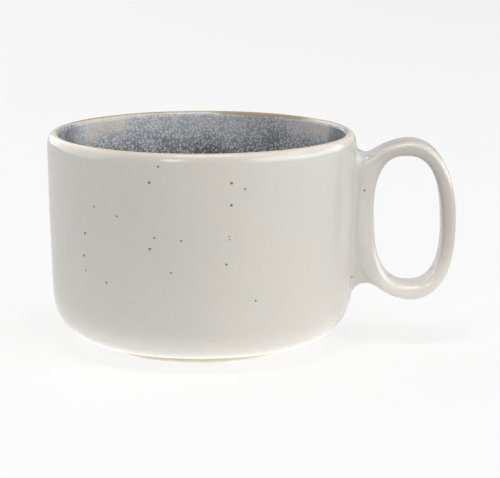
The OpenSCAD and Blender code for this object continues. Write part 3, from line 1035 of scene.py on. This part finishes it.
# Heights and side limits of the painted light on the lining.
LINING_LIGHT_Z, LINING_LIGHT_SIDE = (0.064, 0.081), (0.047, 0.054)


def inside_share(tree):
    """0 on the crest and outside it, 1 inside it, from a small drop under the crest on."""
    here = place_of(tree)
    x, y, z = xyz(here)
    radius = vector("LENGTH", add("CombineXYZ", {0: x, 1: y}).outputs[0])
    ragged = times_plus(noise(here, RAGGED_SCALE, 3.0, 0.6), 0.0007, less(CREST_Z, z))
    start = ramp(y, *FAR_SIDE, 0.0, INSIDE_DROP)
    share = ramp(less(ragged, start), *INSIDE_FADE)
    return times(share, calc("LESS_THAN", radius, CREST_R * MM))


def fleck_colour(tree):
    """Blue-grey ground with fine pale flecks, closer together towards the rim, where ground and flecks are
    painted lighter as painted light; the painted patches of light lie over it.
    """
    here = place_of(tree)
    x, _, z = xyz(here)
    # Painted light: the ground and its flecks are lighter towards the rim, less so at the sides.
    side = ramp(calc("ABSOLUTE", x), *LINING_LIGHT_SIDE, 1.0, 0.4)
    up = times(ramp(z, *LINING_LIGHT_Z, smooth=False), side)
    cloud = less(noise(here, 70.0, 2.5, 0.6), 0.5)
    light = times_plus(cloud, 0.9, times(up, 0.8))
    ground = mix(ramp(light, -0.1, 0.9), LINING_DARK, LINING_MID)
    distance, chance, _, _ = cells(shaken(tree, 1100.0, 0.0005), 980.0, 0.8)
    wide = calc("ADD", times_plus(chance, 0.2, 0.33), ramp(light, 0.0, 0.9, 0.0, 0.14))
    dot = ramp(calc("DIVIDE", distance, wide), 0.45, 1.2, 1.0, 0.0)
    haze = ramp(noise(here, 1500.0, 2.0, 0.6), 0.45, 0.7)
    crystals = calc("MAXIMUM", dot, times(haze, 0.3))
    share = times(times_plus(up, -0.14, 0.76), side)
    colour = mix(times(crystals, share), ground, LINING_FLECK)
    # The painted patches of light lie over the lining's colour.
    return mix(times(use(tree, lit_patch_group)[0], 0.75), colour, LIT_PATCH_TONE), crystals


# %% [markdown]
# ## The rim's glaze
# The band is the pale glaze with more brown in it. Its inner half turns to the lining's grey-blue
# before the seam, so that the two glazes run into each other as they do in the kiln.

# %% Material: rim glaze, with the lining's colour on its inner side
rim, tree, shader = new_material("rim glaze")
inner = inside_share(tree)
colour = mix(inner, glaze_colour(tree, 0.7), fleck_colour(tree)[0])
colour = mix(use(tree, break_group)["Brown"], colour, RIM_BROWN)
feed(shader.inputs["Specular IOR Level"], times_plus(inner, -0.35, 0.5))
finish_surface(shader, colour, roughness_of(tree, *SATIN), satin_height(tree), *SATIN_BUMP)
band.data.materials.append(rim)

# %% [markdown]
# ## The blue-grey lining
# The flecks stand up a little from the ground, so the light breaks on them and not only the colour.

# %% Material: blue-grey glaze
blue_grey, tree, shader = new_material("blue-grey glaze")
colour, crystals = fleck_colour(tree)
height = times_plus(crystals, 0.5, noise(place_of(tree), 160.0, 1.0))
finish_surface(shader, colour, roughness_of(tree, 0.16, 0.24, 300.0), height, 0.3, 0.00008)
lining.data.materials.append(blue_grey)

# %% [markdown]
# ## Bare clay and slip
# Fired stoneware is matt, sandy and warm. The foot shows it: fine grit, a few dark grains and rings
# left by the trimming tool. The slip is the same clay, finer.

# %% Materials: bare clay and slip
DARK_GRAIN, PALE_GRAIN = tone(126, 98, 66), tone(236, 226, 210)


def clay_material(name, light, dark, grit, piece):
    material, tree, shader = new_material(name)
    here = place_of(tree)
    colour = mix(use(tree, drift_group, Broad=60.0, Fine=300.0)[0], light, dark)
    grains = use(tree, speck_group, Cell=900.0, Radius=0.3, Share=0.35)[0]
    colour = mix(times(grains, 0.5), colour, DARK_GRAIN)
    grains = ramp(noise(here, 2200.0, 2.0), 0.55, 0.75)
    colour = mix(times(grains, 0.35), colour, PALE_GRAIN)
    rings = add("TexWave", {"Vector": here, "Scale": 260.0, "Distortion": 1.5, "Detail": 2.0},
                wave_type="RINGS", rings_direction="Z").outputs["Fac"]
    height = times_plus(rings, 0.35, noise(here, 1800.0, 4.0, 0.7))
    finish_surface(shader, colour, roughness_of(tree, 0.72, 0.92, 600.0), height, grit, 0.0002)
    if not piece.material_slots:
        piece.data.materials.append(None)
    piece.material_slots[0].material = material


clay_material("bare clay", tone(242, 233, 221), tone(231, 217, 199), 0.5, clay)
clay_material("handle clay", tone(212, 194, 170), tone(194, 168, 136), 0.4, clay_handle)
clay_material("fine slip", tone(208, 188, 162), tone(190, 164, 134), 0.2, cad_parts["joint_slip"])

# %% [markdown]
# ## A light table and soft lamps
# The mug stands on a white table that is lit from below, which is why its underside is bright and
# has no dark line where it touches down. The table is a plain floor. To the camera it is pale with
# the mug's soft shadow, and for all other rays it also glows a little. A wide lamp at the far left
# behind and two at the right do most of the rest. One overhead draws the light line along the
# strap, and a small one at the left front draws the streak on the lip.

# %% Floor
FLOOR_HALF, FLOOR_TONE, CAMERA_WHITE = 4, 0.86, 0.8
TABLE_GLOW, GLOW_FADE, NEAR_GLOW, NEAR_FADE = 0.26, (0.072, 0.168), 3.2, (0.037, 0.070)
floor_mesh = bpy.data.meshes.new("floor")
floor_mesh.from_pydata([(x * FLOOR_HALF, y * FLOOR_HALF, 0) for x, y in ((-1, -1), (1, -1), (1, 1), (-1, 1))],
                       [], [(0, 1, 2, 3)])
floor = bpy.data.objects.new("floor", floor_mesh)
bpy.context.collection.objects.link(floor)
floor_material, tree, shader = new_material("pale floor")
shader.inputs["Base Color"].default_value = (FLOOR_TONE,) * 3 + (1,)
shader.inputs["Roughness"].default_value = 0.9
seen = add("LightPath", tree=tree).outputs["Is Camera Ray"]
white = add("Emission", {"Strength": 1.0}, tree)
seen_white = times(seen, CAMERA_WHITE)
mixed = add("MixShader", {0: seen_white, 1: shader.outputs[0], 2: white.outputs[0]})
centre = vector("LENGTH", place_of(tree))
near = ramp(centre, *NEAR_FADE, NEAR_GLOW, 1.0)
glow = times(ramp(centre, *GLOW_FADE, TABLE_GLOW, 0.0), near, less(1.0, seen))
glow = add("Emission", {"Strength": glow})
both = add("AddShader", {0: mixed.outputs[0], 1: glow.outputs[0]})
feed(tree.nodes["Material Output"].inputs["Surface"], both.outputs[0])
floor.data.materials.append(floor_material)

# %% Lamps and world: place, size and power of each lamp
AMBIENT, MIRRORED_WHITE, LIT_POINT = 0.02, 0.8, Vector((0, 0, 0.045))
LAMPS = {
    "right": ((1.2445, -0.6617, 0.5580), (1.2, 0.8), 11.2),
    "right low": ((1.4628, 0.2579, 0.3538), (1.6, 0.5), 7.8),
    "left behind": ((-1.1865, 0.6650, 0.6589), (3.0, 1.3), 20.5),
    "overhead": ((0.0, -0.50, 1.45), (0.8, 0.4), 10.0),
    "lip streak": ((-0.5045, -1.2741, 0.6550), (0.36, 0.55), 4.0),
}
for name, (place, size, power) in LAMPS.items():
    data = bpy.data.lights.new(name, "AREA")
    data.shape, data.energy = "RECTANGLE", power
    data.size, data.size_y = size
    lamp = bpy.data.objects.new(name, data)
    bpy.context.collection.objects.link(lamp)
    lamp.location = place
    lamp.rotation_euler = (LIT_POINT - Vector(place)).to_track_quat("-Z", "Y").to_euler()
world = bpy.data.worlds.new("world")
world.use_nodes = True
tree = world.node_tree
ambient = tree.nodes["Background"]
ambient.inputs["Strength"].default_value = AMBIENT
path = add("LightPath", tree=tree).outputs
mirrored = calc("MAXIMUM", path["Is Glossy Ray"], path["Is Transmission Ray"])
seen = calc("MAXIMUM", path["Is Camera Ray"], times(mirrored, MIRRORED_WHITE))
backdrop = add("Background", {"Color": (1, 1, 1, 1), "Strength": 1.0}, tree)
mixed = add("MixShader", {0: seen, 1: ambient.outputs[0], 2: backdrop.outputs[0]})
feed(tree.nodes["World Output"].inputs["Surface"], mixed.outputs[0])
bpy.context.scene.world = world
bpy.context.scene.view_settings.view_transform = "Standard"
print("lamps:", list(LAMPS))
